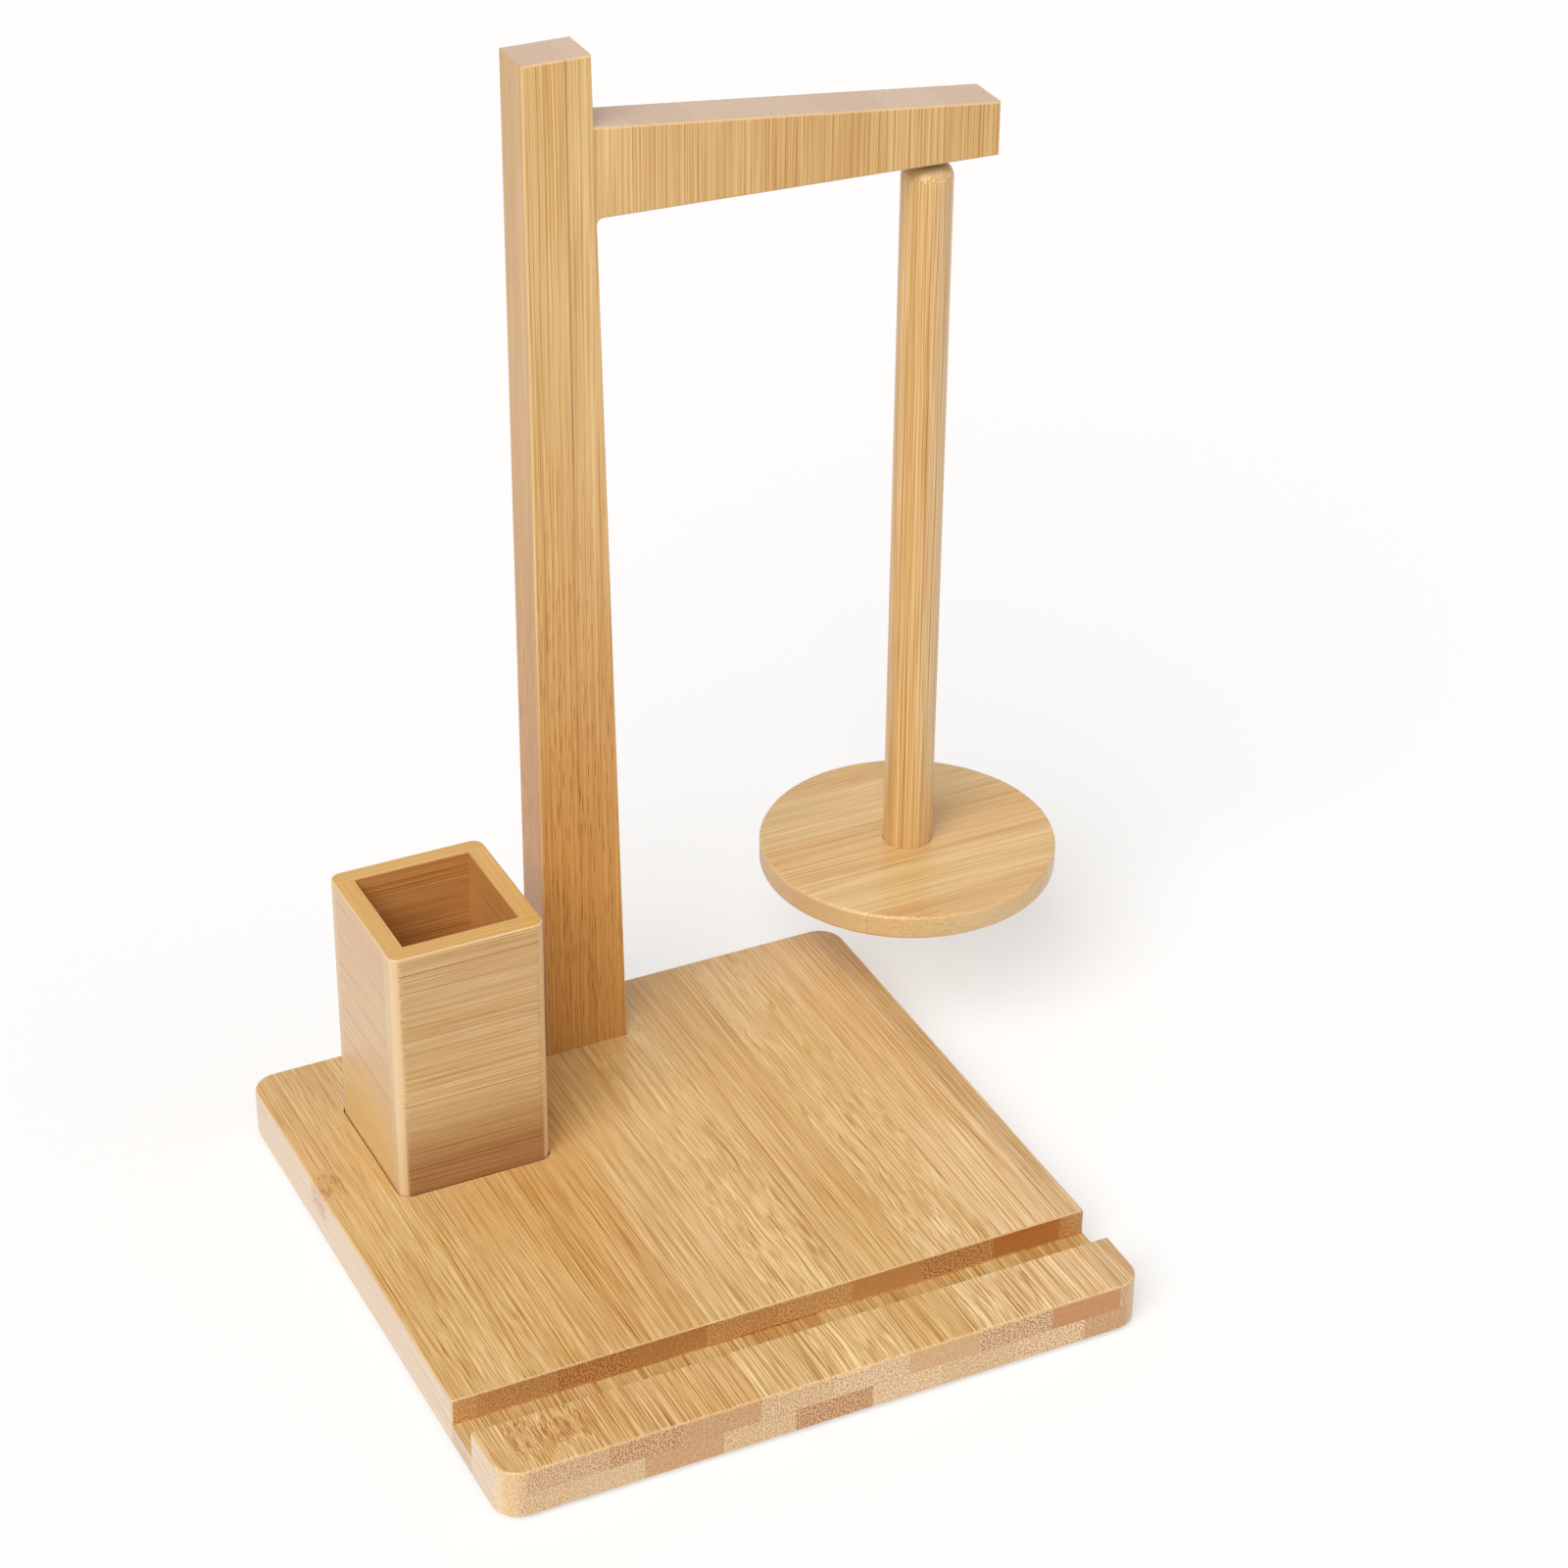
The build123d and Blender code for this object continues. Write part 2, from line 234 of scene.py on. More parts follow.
# Each strip's patterns start elsewhere: golden steps from strip to strip, stretched to many cells
GOLDEN_STEP, FIRST_STEP = 0.618, 0.2
STEP_STRETCH = (61.0, 37.0, 23.0)

# Satin lacquer: its roughness from fibre to fibre, its relief in m, and how far marks lie below it
LACQUER_ROUGHNESS = (0.4, 0.5)
RELIEF_HEIGHT = 0.00003
MARK_RELIEF = -0.6

# One strip: its tone, how strong its long lines and its dashes are, the tone of its cut end, how
# strong the dots there are, how wavy it is, and the place of its knuckle in mm
Strip = namedtuple(
    "Strip",
    "tone lines dashes end dots wave knuckle",
    defaults=(HONEY, 0.5, 0.5, END_PALE, 0.6, 0, NO_KNUCKLE),
)


def bamboo(
    name,
    grain,
    layers,
    split=NO_SPLIT,
    pitch=22.75,
    flank=None,
    cut_tone=None,
    eased=None,
    darker_end=None,
    fibres=((0, 0.6), (1, 0.6)),
    fibre_length=70.0,
    groove=None,
    glue=0.25,
    seam=None,
    inside=None,
    strip_blend="CONSTANT",
):
    """Glued bamboo strips, sanded and lacquered: long lines and short dashes along the fibres, rows
    of dots where they are cut across, and a knuckle wherever the culm had its joint.

    grain holds the axes across the strips, through their thickness and along their fibres. layers
    holds one or two layers, each as (edge of its first strip in mm, its strips), and the second
    starts at split. pitch is the strips' width in mm. flank is the (tone, clearness) of the strips'
    sawn sides and cut_tone a tone for all the cut ends. eased is the (tone, share) of the rounded
    edges, a painted highlight on edges that are also sanded paler, and darker_end is (place of
    the full tone in mm, place where it starts, tone), a deeper tone that is partly painted shade.
    fibres gives how clearly they show, as (place in mm, clearness) twice, and fibre_length how
    long the finest of them look, in mm. groove is (its middle in mm, its half width, tone of its
    walls, tone of its floor), both tones painted shade, glue is how dark the joints are, and seam
    is the (place across, lower end, place where it is full) of one open joint in mm. inside is the
    (middle of the box in m, tone) for faces that look inwards, the tone being painted shade, and
    strip_blend says how the strips' tones meet.
    """
    finish, tree = new_finish(name)
    place = add_node(tree, "ShaderNodeTexCoord")
    in_mm = add_node(
        tree,
        "ShaderNodeVectorMath",
        {"operation": "SCALE"},
        {0: place.outputs["Object"], "Scale": MM_PER_M},
    )
    xyz = add_node(tree, "ShaderNodeSeparateXYZ", inputs={0: in_mm.outputs[0]})
    across, through, along = (xyz.outputs[axis] for axis in grain)
    here = add_node(
        tree, "ShaderNodeCombineXYZ", inputs={"X": across, "Y": through, "Z": along}
    ).outputs[0]

    # Which strip a point lies in: the second layer's strips follow the first's on one long ruler
    strips = [strip for _, row in layers for strip in row]
    first_edge = layers[0][0]
    shift = 0.0
    if len(layers) > 1:
        shift = first_edge - layers[1][0] + len(layers[0][1]) * pitch
    upper = add_node(
        tree, "ShaderNodeMath", {"operation": "GREATER_THAN"}, {0: through, 1: split}
    )
    ruler = add_node(
        tree,
        "ShaderNodeMath",
        {"operation": "MULTIPLY_ADD"},
        {0: upper.outputs[0], 1: shift, 2: across},
    ).outputs[0]
    share = add_node(
        tree,
        "ShaderNodeMapRange",
        inputs={
            "Value": ruler,
            "From Min": first_edge,
            "From Max": first_edge + len(strips) * pitch,
        },
    ).outputs[0]
    tones, ends, makes = (
        add_node(tree, "ShaderNodeValToRGB", inputs={0: share}) for _ in range(3)
    )
    starts = [i / len(strips) for i in range(len(strips))]
    fill_stops(tones.color_ramp, starts, [linear(s.tone, s.dashes) for s in strips], strip_blend)
    fill_stops(ends.color_ramp, starts, [linear(s.end, s.dots) for s in strips])
    fill_stops(
        makes.color_ramp,
        starts,
        [
            (
                (i * GOLDEN_STEP + FIRST_STEP) % 1,
                s.lines,
                s.knuckle / KNUCKLE_SPAN + KNUCKLE_MIDDLE,
                s.wave,
            )
            for i, s in enumerate(strips)
        ],
    )
    make = add_node(tree, "ShaderNodeSeparateColor", inputs={0: makes.outputs["Color"]})
    own = add_node(
        tree,
        "ShaderNodeVectorMath",
        {"operation": "MULTIPLY"},
        {0: makes.outputs["Color"], 1: STEP_STRETCH},
    ).outputs[0]

    # How far the surface faces along the fibres, where it is sawn across them
    facing = add_node(
        tree, "ShaderNodeVectorMath", {"operation": "ABSOLUTE"}, {0: place.outputs["Normal"]}
    )
    sides = add_node(tree, "ShaderNodeSeparateXYZ", inputs={0: facing.outputs[0]})
    cut = add_node(
        tree,
        "ShaderNodeMapRange",
        {"interpolation_type": "SMOOTHSTEP"},
        {
            "Value": sides.outputs[grain[2]],
            "From Min": CUT_FACING[0],
            "From Max": CUT_FACING[1],
        },
    ).outputs[0]

    # A knuckle is a band about 11 mm long where the fibres swirl
    wander = add_node(
        tree,
        "ShaderNodeTexNoise",
        inputs={"Vector": here, "Scale": WANDER_SCALE, "Detail": 1.0, "Roughness": 0.6},
    )
    from_knuckle = add_node(
        tree,
        "ShaderNodeMath",
        {"operation": "MULTIPLY_ADD"},
        {0: make.outputs["Blue"], 1: -KNUCKLE_SPAN, 2: along},
    )
    ragged = add_node(
        tree,
        "ShaderNodeMath",
        {"operation": "MULTIPLY_ADD"},
        {0: wander.outputs["Fac"], 1: KNUCKLE_RAGS, 2: from_knuckle.outputs[0]},
    )
    centred = add_node(
        tree,
        "ShaderNodeMath",
        {"operation": "ADD"},
        {0: ragged.outputs[0], 1: KNUCKLE_MIDDLE * KNUCKLE_SPAN - KNUCKLE_RAGS / 2},
    )
    knuckle_gap = add_node(
        tree, "ShaderNodeMath", {"operation": "ABSOLUTE"}, {0: centred.outputs[0]}
    )
    at_knuckle = add_node(
        tree,
        "ShaderNodeMapRange",
        {"interpolation_type": "SMOOTHSTEP"},
        {
            "Value": knuckle_gap.outputs[0],
            "From Min": KNUCKLE_REACH,
            "From Max": KNUCKLE_CORE,
        },
    ).outputs[0]
    swirl = add_node(
        tree,
        "ShaderNodeVectorMath",
        {"operation": "SCALE"},
        {0: wander.outputs["Color"], "Scale": at_knuckle},
    )

    # Fibres drift by half a millimetre over about 80 mm, and by nearly a millimetre over 25 mm in a
    # wavy strip
    drift_place = add_node(
        tree,
        "ShaderNodeVectorMath",
        {"operation": "MULTIPLY_ADD"},
        {0: here, 1: DRIFT_CELLS, 2: own},
    )
    drift = add_node(
        tree,
        "ShaderNodeTexNoise",
        inputs={"Vector": drift_place.outputs[0], "Scale": 1.0, "Detail": 1.0},
    )
    drifted = add_node(
        tree,
        "ShaderNodeVectorMath",
        {"operation": "MULTIPLY_ADD"},
        {0: drift.outputs["Color"], 1: DRIFT_PUSH, 2: here},
    )
    wave_place = add_node(
        tree,
        "ShaderNodeVectorMath",
        {"operation": "MULTIPLY_ADD"},
        {0: here, 1: WAVE_CELLS, 2: own},
    )
    waves = add_node(
        tree,
        "ShaderNodeTexNoise",
        inputs={"Vector": wave_place.outputs[0], "Scale": 1.0, "Detail": 1.0},
    )
    strip_waves = add_node(
        tree,
        "ShaderNodeVectorMath",
        {"operation": "SCALE"},
        {0: waves.outputs["Color"], "Scale": makes.outputs["Alpha"]},
    )
    waved = add_node(
        tree,
        "ShaderNodeVectorMath",
        {"operation": "MULTIPLY_ADD"},
        {0: strip_waves.outputs[0], 1: WAVE_PUSH, 2: drifted.outputs[0]},
    )
    fibre_place = add_node(
        tree,
        "ShaderNodeVectorMath",
        {"operation": "MULTIPLY_ADD"},
        {0: swirl.outputs[0], 1: SWIRL_PUSH, 2: waved.outputs[0]},
    ).outputs[0]

    # Long dark lines where a bundle lies in the surface, 0.2 to 0.4 mm wide, crowded in places
    line_place = add_node(
        tree, "ShaderNodeVectorMath", {"operation": "ADD"}, {0: fibre_place, 1: own}
    )
    line_cells = add_node(
        tree,
        "ShaderNodeTexVoronoi",
        {"voronoi_dimensions": "2D"},
        {"Vector": line_place.outputs[0], "Scale": LINE_SCALE},
    )
    line_core = add_node(
        tree,
        "ShaderNodeMapRange",
        {"interpolation_type": "SMOOTHSTEP"},
        {
            "Value": line_cells.outputs["Distance"],
            "From Min": LINE_EDGE[0],
            "From Max": LINE_EDGE[1],
            "To Min": 1.0,
            "To Max": 0.0,
        },
    )
    line_chance = add_node(
        tree, "ShaderNodeSeparateColor", inputs={0: line_cells.outputs["Color"]}
    )
    line_depth = add_node(
        tree,
        "ShaderNodeMath",
        {"operation": "MULTIPLY"},
        {0: line_core.outputs[0], 1: line_chance.outputs["Red"]},
    )
    crowd_place = add_node(
        tree,
        "ShaderNodeVectorMath",
        {"operation": "MULTIPLY_ADD"},
        {0: fibre_place, 1: CROWD_CELLS, 2: own},
    )
    crowds = add_node(
        tree, "ShaderNodeTexNoise", inputs={"Vector": crowd_place.outputs[0], "Scale": 1.0}
    )
    crowding = add_node(
        tree,
        "ShaderNodeMapRange",
        {"interpolation_type": "SMOOTHSTEP"},
        {
            "Value": crowds.outputs["Fac"],
            "From Min": CROWD_EDGE[0],
            "From Max": CROWD_EDGE[1],
            "To Min": CROWD_SHARE[0],
            "To Max": CROWD_SHARE[1],
        },
    )
    line_crowd = add_node(
        tree,
        "ShaderNodeMath",
        {"operation": "MULTIPLY"},
        {0: line_depth.outputs[0], 1: crowding.outputs[0]},
    )
    line_share = add_node(
        tree,
        "ShaderNodeMath",
        {"operation": "MULTIPLY"},
        {0: line_crowd.outputs[0], 1: make.outputs["Green"]},
    ).outputs[0]

    # Dashes where a bundle only grazes the surface: a quarter of a mm wide and up to 9 mm long
    dash_place = add_node(
        tree,
        "ShaderNodeVectorMath",
        {"operation": "MULTIPLY_ADD"},
        {0: fibre_place, 1: DASH_CELLS, 2: own},
    )
    dash_cells = add_node(
        tree, "ShaderNodeTexVoronoi", inputs={"Vector": dash_place.outputs[0], "Scale": 1.0}
    )
    dash_core = add_node(
        tree,
        "ShaderNodeMapRange",
        {"interpolation_type": "SMOOTHSTEP"},
        {
            "Value": dash_cells.outputs["Distance"],
            "From Min": DASH_EDGE[0],
            "From Max": DASH_EDGE[1],
            "To Min": 1.0,
            "To Max": 0.0,
        },
    )
    dash_chance = add_node(
        tree, "ShaderNodeSeparateColor", inputs={0: dash_cells.outputs["Color"]}
    )
    dash_depth = add_node(
        tree,
        "ShaderNodeMath",
        {"operation": "MULTIPLY"},
        {0: dash_core.outputs[0], 1: dash_chance.outputs["Red"]},
    )
    dash_share = add_node(
        tree,
        "ShaderNodeMath",
        {"operation": "MULTIPLY"},
        {0: dash_depth.outputs[0], 1: tones.outputs["Alpha"]},
    ).outputs[0]

    # Squiggles at a knuckle, nearly half a millimetre wide and 3 to 5 mm long
    squiggle_place = add_node(
        tree,
        "ShaderNodeVectorMath",
        {"operation": "MULTIPLY_ADD"},
        {0: fibre_place, 1: SQUIGGLE_CELLS, 2: own},
    )
    squiggle_cells = add_node(
        tree, "ShaderNodeTexVoronoi", inputs={"Vector": squiggle_place.outputs[0], "Scale": 1.0}
    )
    squiggle_core = add_node(
        tree,
        "ShaderNodeMapRange",
        {"interpolation_type": "SMOOTHSTEP"},
        {
            "Value": squiggle_cells.outputs["Distance"],
            "From Min": SQUIGGLE_EDGE[0],
            "From Max": SQUIGGLE_EDGE[1],
            "To Min": SQUIGGLE_SHARE,
            "To Max": 0.0,
        },
    )
    squiggle_share = add_node(
        tree,
        "ShaderNodeMath",
        {"operation": "MULTIPLY"},
        {0: squiggle_core.outputs[0], 1: at_knuckle},
    ).outputs[0]

    # Dots where the bundles are sawn across, 0.9 mm apart in loose rows; real ones stand closer in
    # places, which would be too fine to show
    dot_cells = add_node(
        tree,
        "ShaderNodeTexVoronoi",
        {"voronoi_dimensions": "2D"},
        {"Vector": here, "Scale": DOT_SCALE, "Randomness": 0.75},
    )
    dot_core = add_node(
        tree,
        "ShaderNodeMapRange",
        {"interpolation_type": "SMOOTHSTEP"},
        {
            "Value": dot_cells.outputs["Distance"],
            "From Min": DOT_EDGE[0],
            "From Max": DOT_EDGE[1],
            "To Min": DOT_SHARE,
            "To Max": 0.0,
        },
    )
    dot_share = add_node(
        tree,
        "ShaderNodeMath",
        {"operation": "MULTIPLY"},
        {0: dot_core.outputs[0], 1: ends.outputs["Alpha"]},
    ).outputs[0]

    # Soft streaks 2 mm wide, and fibres drawn a third of a millimetre wide, because the real ones
    # are too fine to show
    streak_place = add_node(
        tree,
        "ShaderNodeVectorMath",
        {"operation": "MULTIPLY_ADD"},
        {0: fibre_place, 1: STREAK_CELLS, 2: own},
    )
    streaks = add_node(
        tree,
        "ShaderNodeTexNoise",
        inputs={"Vector": streak_place.outputs[0], "Scale": 1.0, "Detail": 1.0, "Roughness": 0.7},
    )
    hair_place = add_node(
        tree,
        "ShaderNodeVectorMath",
        {"operation": "MULTIPLY_ADD"},
        {0: fibre_place, 1: (HAIR_SCALE, HAIR_SCALE, 1 / fibre_length), 2: own},
    )
    hairs = add_node(
        tree,
        "ShaderNodeTexNoise",
        inputs={"Vector": hair_place.outputs[0], "Scale": 1.0, "Detail": 2.0, "Roughness": 0.6},
    )
    soft_hairs = add_node(
        tree,
        "ShaderNodeMath",
        {"operation": "SMOOTH_MIN"},
        {0: hairs.outputs["Fac"], 1: HAIR_TOP, 2: HAIR_EASE},
    )
    (near, near_share), (far, far_share) = fibres
    clearness = add_node(
        tree,
        "ShaderNodeMapRange",
        inputs={
            "Value": along,
            "From Min": near,
            "From Max": far,
            "To Min": near_share,
            "To Max": far_share,
        },
    ).outputs[0]
    on_end = add_node(
        tree,
        "ShaderNodeMapRange",
        inputs={"Value": cut, "To Min": 1.0, "To Max": END_CLEARNESS},
    )

    # Colour: the strip's tone, or that of its sawn side or its cut end, with painted shade on the
    # box's inside and in the groove, then streaks and fibres
    tone = tones.outputs["Color"]
    if flank:
        flank_tone, flank_clearness = flank
        beside = add_node(
            tree,
            "ShaderNodeMapRange",
            {"interpolation_type": "SMOOTHSTEP"},
            {
                "Value": sides.outputs[grain[0]],
                "From Min": FLANK_FACING[0],
                "From Max": FLANK_FACING[1],
            },
        )
        tone = add_node(
            tree,
            "ShaderNodeMix",
            {"data_type": "RGBA"},
            {"Factor": beside.outputs[0], "A": tone, "B": linear(flank_tone)},
        ).outputs["Result"]
        fainter = add_node(
            tree,
            "ShaderNodeMapRange",
            inputs={"Value": beside.outputs[0], "To Min": 1.0, "To Max": flank_clearness},
        )
        clearness = add_node(
            tree,
            "ShaderNodeMath",
            {"operation": "MULTIPLY"},
            {0: clearness, 1: fainter.outputs[0]},
        ).outputs[0]
        glue = add_node(
            tree,
            "ShaderNodeMapRange",
            inputs={"Value": beside.outputs[0], "To Min": glue, "To Max": FLANK_GLUE * glue},
        ).outputs[0]
    fibre_share = add_node(
        tree, "ShaderNodeMath", {"operation": "MULTIPLY"}, {0: clearness, 1: on_end.outputs[0]}
    ).outputs[0]
    # Painted shade: faces that look into the box take a darker, more orange tone
    if inside:
        middle, inside_shade_tone = inside
        outward = add_node(
            tree,
            "ShaderNodeVectorMath",
            {"operation": "SUBTRACT"},
            {0: place.outputs["Object"], 1: middle},
        )
        facing_out = add_node(
            tree,
            "ShaderNodeVectorMath",
            {"operation": "DOT_PRODUCT"},
            {0: outward.outputs[0], 1: place.outputs["Normal"]},
        )
        looks_in = add_node(
            tree,
            "ShaderNodeMath",
            {"operation": "LESS_THAN"},
            {0: facing_out.outputs["Value"], 1: 0.0},
        )
        tone = add_node(
            tree,
            "ShaderNodeMix",
            {"data_type": "RGBA"},
            {"Factor": looks_in.outputs[0], "A": tone, "B": linear(inside_shade_tone)},
        ).outputs["Result"]
    end_tone = ends.outputs["Color"]
    if cut_tone:
        end_tone = add_node(
            tree,
            "ShaderNodeMix",
            {"data_type": "RGBA"},
            {"Factor": CUT_SHARE, "A": end_tone, "B": linear(cut_tone)},
        ).outputs["Result"]
    # Painted shade in the groove: its walls and its floor are multiplied darker
    if groove:
        groove_middle, half_width, groove_wall_shade, groove_floor_shade = groove
        in_groove = add_node(
            tree,
            "ShaderNodeMath",
            {"operation": "COMPARE"},
            {0: along, 1: groove_middle, 2: half_width},
        )
        end_tone, tone = (
            add_node(
                tree,
                "ShaderNodeMix",
                {"data_type": "RGBA", "blend_type": "MULTIPLY"},
                {"Factor": in_groove.outputs[0], "A": plain, "B": linear(shade)},
            ).outputs["Result"]
            for plain, shade in ((end_tone, groove_wall_shade), (tone, groove_floor_shade))
        )
    colour = add_node(
        tree, "ShaderNodeMix", {"data_type": "RGBA"}, {"Factor": cut, "A": tone, "B": end_tone}
    ).outputs["Result"]
    for pattern, depth in ((streaks, STREAK_DEPTH), (soft_hairs, HAIR_DEPTH)):
        tint = add_node(
            tree,
            "ShaderNodeVectorMath",
            {"operation": "MULTIPLY_ADD"},
            {0: pattern.outputs[0], 1: depth, 2: [1 - NEUTRAL * d for d in depth]},
        )
        colour = add_node(
            tree,
            "ShaderNodeMix",
            {"data_type": "RGBA", "blend_type": "MULTIPLY", "clamp_result": True},
            {"Factor": fibre_share, "A": colour, "B": tint.outputs[0]},
        ).outputs["Result"]

    # Glue lines between the strips and between the layers
    from_edge = add_node(
        tree, "ShaderNodeMath", {"operation": "SUBTRACT"}, {0: ruler, 1: first_edge}
    )
    joint_gap = add_node(
        tree,
        "ShaderNodeMath",
        {"operation": "PINGPONG"},
        {0: from_edge.outputs[0], 1: pitch / 2},
    )
    from_split = add_node(
        tree, "ShaderNodeMath", {"operation": "SUBTRACT"}, {0: through, 1: split}
    )
    split_gap = add_node(
        tree, "ShaderNodeMath", {"operation": "ABSOLUTE"}, {0: from_split.outputs[0]}
    )
    glue_gap = add_node(
        tree,
        "ShaderNodeMath",
        {"operation": "MINIMUM"},
        {0: joint_gap.outputs[0], 1: split_gap.outputs[0]},
    )
    glue_line = add_node(
        tree,
        "ShaderNodeMapRange",
        {"interpolation_type": "SMOOTHSTEP"},
        {
            "Value": glue_gap.outputs[0],
            "From Min": GLUE_EDGE[0],
            "From Max": GLUE_EDGE[1],
            "To Min": glue,
            "To Max": 0.0,
        },
    )
    glue_share = add_node(
        tree,
        "ShaderNodeMath",
        {"operation": "MULTIPLY"},
        {0: glue_line.outputs[0], 1: on_end.outputs[0]},
    ).outputs[0]

    # One joint that stands open towards one end
    if seam:
        seam_place, seam_start, seam_full = seam
        from_seam = add_node(
            tree, "ShaderNodeMath", {"operation": "SUBTRACT"}, {0: across, 1: seam_place}
        )
        seam_gap = add_node(
            tree, "ShaderNodeMath", {"operation": "ABSOLUTE"}, {0: from_seam.outputs[0]}
        )
        seam_reach = add_node(
            tree,
            "ShaderNodeMapRange",
            inputs={
                "Value": along,
                "From Min": seam_start,
                "From Max": seam_full,
                "To Max": SEAM_SHARE,
            },
        )
        seam_line = add_node(
            tree,
            "ShaderNodeMapRange",
            {"interpolation_type": "SMOOTHSTEP"},
            {
                "Value": seam_gap.outputs[0],
                "From Min": SEAM_EDGE[0],
                "From Max": SEAM_EDGE[1],
                "To Min": seam_reach.outputs[0],
                "To Max": 0.0,
            },
        )
        seam_share = add_node(
            tree,
            "ShaderNodeMath",
            {"operation": "MULTIPLY"},
            {0: seam_line.outputs[0], 1: on_end.outputs[0]},
        )
        glue_share = add_node(
            tree,
            "ShaderNodeMath",
            {"operation": "MAXIMUM"},
            {0: glue_share, 1: seam_share.outputs[0]},
        ).outputs[0]

    # Towards the darker end the tone deepens, partly as painted shade, long lines fade and dashes
    # come up in a redder tone of their own, so that the marks below leave the dashes out
    if darker_end:
        full, none, deep_and_shade_tone = darker_end
        depth = add_node(
            tree,
            "ShaderNodeMapRange",
            {"interpolation_type": "SMOOTHSTEP"},
            {"Value": along, "From Min": none, "From Max": full},
        ).outputs[0]
        more_dashes = add_node(
            tree,
            "ShaderNodeMapRange",
            inputs={"Value": depth, "To Min": 0.0, "To Max": DEEP_DASHES},
        )
        dash_share = add_node(
            tree,
            "ShaderNodeMath",
            {"operation": "MULTIPLY", "use_clamp": True},
            {0: dash_share, 1: more_dashes.outputs[0]},
        ).outputs[0]
        fewer_lines = add_node(
            tree,
            "ShaderNodeMapRange",
            inputs={"Value": depth, "To Min": 1.0, "To Max": DEEP_LINES},
        )
        line_share = add_node(
            tree,
            "ShaderNodeMath",
            {"operation": "MULTIPLY"},
            {0: line_share, 1: fewer_lines.outputs[0]},
        ).outputs[0]
        colour = add_node(
            tree,
            "ShaderNodeMix",
            {"data_type": "RGBA", "blend_type": "MULTIPLY"},
            {"Factor": depth, "A": colour, "B": linear(deep_and_shade_tone)},
        ).outputs["Result"]
        colour = add_node(
            tree,
            "ShaderNodeMix",
            {"data_type": "RGBA", "blend_type": "MULTIPLY"},
            {"Factor": dash_share, "A": colour, "B": linear(DEEP_DASH_TONE)},
        ).outputs["Result"]
        dash_share = 0.0

    # Marks: lines and dashes on the long faces, dots on the cut ends, then the knuckle and the glue
    long_mark = add_node(
        tree, "ShaderNodeMath", {"operation": "MAXIMUM"}, {0: line_share, 1: dash_share}
    )
    clear_mark = add_node(
        tree,
        "ShaderNodeMath",
        {"operation": "MULTIPLY"},
        {0: long_mark.outputs[0], 1: clearness},
    )
    long_share = add_node(
        tree,
        "ShaderNodeMath",
        {"operation": "MAXIMUM"},
        {0: clear_mark.outputs[0], 1: squiggle_share},
    )
    mark_share = add_node(
        tree,
        "ShaderNodeMix",
        {"data_type": "FLOAT"},
        {"Factor": cut, "A": long_share.outputs[0], "B": dot_share},
    ).outputs["Result"]
    knuckle_share = add_node(
        tree,
        "ShaderNodeMath",
        {"operation": "MULTIPLY"},
        {0: at_knuckle, 1: wander.outputs["Fac"]},
    ).outputs[0]
    for mark, dark in (
        (mark_share, MARK_TONE),
        (knuckle_share, KNUCKLE_TONE),
        (glue_share, GLUE_TONE),
    ):
        colour = add_node(
            tree,
            "ShaderNodeMix",
            {"data_type": "RGBA", "blend_type": "MULTIPLY"},
            {"Factor": mark, "A": colour, "B": linear(dark)},
        ).outputs["Result"]

    # Rounded edges are painted paler: a painted highlight, on edges that are also sanded paler
    if eased:
        sanding_and_highlight_tone, sanding_and_highlight_share = eased
        flattest = add_node(
            tree,
            "ShaderNodeMath",
            {"operation": "MAXIMUM"},
            {0: sides.outputs["X"], 1: sides.outputs["Y"]},
        )
        flat = add_node(
            tree,
            "ShaderNodeMath",
            {"operation": "MAXIMUM"},
            {0: flattest.outputs[0], 1: sides.outputs["Z"]},
        )
        rounded = add_node(
            tree,
            "ShaderNodeMapRange",
            {"interpolation_type": "SMOOTHSTEP"},
            {
                "Value": flat.outputs[0],
                "From Min": EASED_FACING[0],
                "From Max": EASED_FACING[1],
                "To Max": sanding_and_highlight_share,
            },
        )
        colour = add_node(
            tree,
            "ShaderNodeMix",
            {"data_type": "RGBA"},
            {"Factor": rounded.outputs[0], "A": colour, "B": linear(sanding_and_highlight_tone)},
        ).outputs["Result"]

    # Satin lacquer: a thin clear coat, over fibres that stand about a hundredth of a mm proud
    relief = add_node(
        tree,
        "ShaderNodeMath",
        {"operation": "MULTIPLY_ADD"},
        {0: mark_share, 1: MARK_RELIEF, 2: hairs.outputs["Fac"]},
    )
    even_relief = add_node(
        tree,
        "ShaderNodeMath",
        {"operation": "MULTIPLY"},
        {0: relief.outputs[0], 1: fibre_share},
    )
    bump = add_node(
        tree,
        "ShaderNodeBump",
        inputs={"Strength": 0.2, "Distance": RELIEF_HEIGHT, "Height": even_relief.outputs[0]},
    )
    sheen = add_node(
        tree,
        "ShaderNodeMapRange",
        inputs={
            "Value": hairs.outputs["Fac"],
            "To Min": LACQUER_ROUGHNESS[0],
            "To Max": LACQUER_ROUGHNESS[1],
        },
    )
    shader = add_node(
        tree,
        "ShaderNodeBsdfPrincipled",
        inputs={
            "Base Color": colour,
            "Roughness": sheen.outputs[0],
            "IOR": 1.5,
            "Coat Weight": 0.4,
            "Coat Roughness": 0.25,
            "Normal": bump.outputs[0],
        },
    )
    add_node(tree, "ShaderNodeOutputMaterial", inputs={"Surface": shader.outputs[0]})
    return finish
